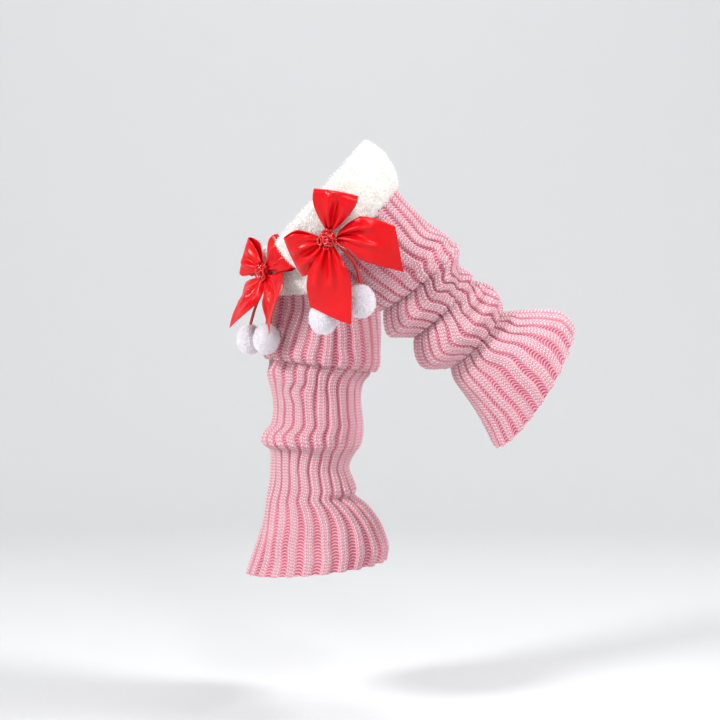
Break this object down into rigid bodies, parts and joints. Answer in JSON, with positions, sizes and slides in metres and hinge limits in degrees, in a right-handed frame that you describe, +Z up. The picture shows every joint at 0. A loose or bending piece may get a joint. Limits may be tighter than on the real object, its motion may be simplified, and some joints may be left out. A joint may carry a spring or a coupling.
{
  "type": "pair of leg warmers",
  "caption": "Ribbed knit leg warmers with plush cuffs, ribbon bows and hanging pompoms, slouched as worn on a standing and a lifted leg.",
  "frame": {"origin": "centre of the standing leg warmer's top opening, where the calf under the knee holds it", "axes": "+Z up the standing leg, +X towards the wearer's back, -Y towards the wearer's left, where the lifted leg warmer is"},
  "size_m": [0.3189, 0.2742, 0.406],
  "materials": {
    "knit": "matte ribbed knit",
    "plush": "soft pile",
    "satin": "glossy satin weave",
    "cord": "glossy braided cord",
    "fluff": "soft cut yarn"
  },
  "bodies": {
    "root": {"standing_knit_tube": "knit", "standing_plush_cuff": "plush", "standing_bow_knot": "cord", "standing_bow_loop_back": "satin", "standing_bow_loop_front": "satin", "standing_bow_tail_back": "satin", "standing_bow_tail_front": "satin", "standing_front_cord": "cord", "standing_back_cord": "cord", "standing_front_pompom": "fluff", "standing_back_pompom": "fluff", "lifted_knit_tube": "knit", "lifted_plush_cuff": "plush", "lifted_bow_knot": "cord", "lifted_bow_loop_back": "satin", "lifted_bow_loop_front": "satin", "lifted_bow_tail_back": "satin", "lifted_bow_tail_front": "satin", "lifted_front_cord": "cord", "lifted_back_cord": "cord", "lifted_front_pompom": "fluff", "lifted_back_pompom": "fluff"}
  },
  "joints": []
}
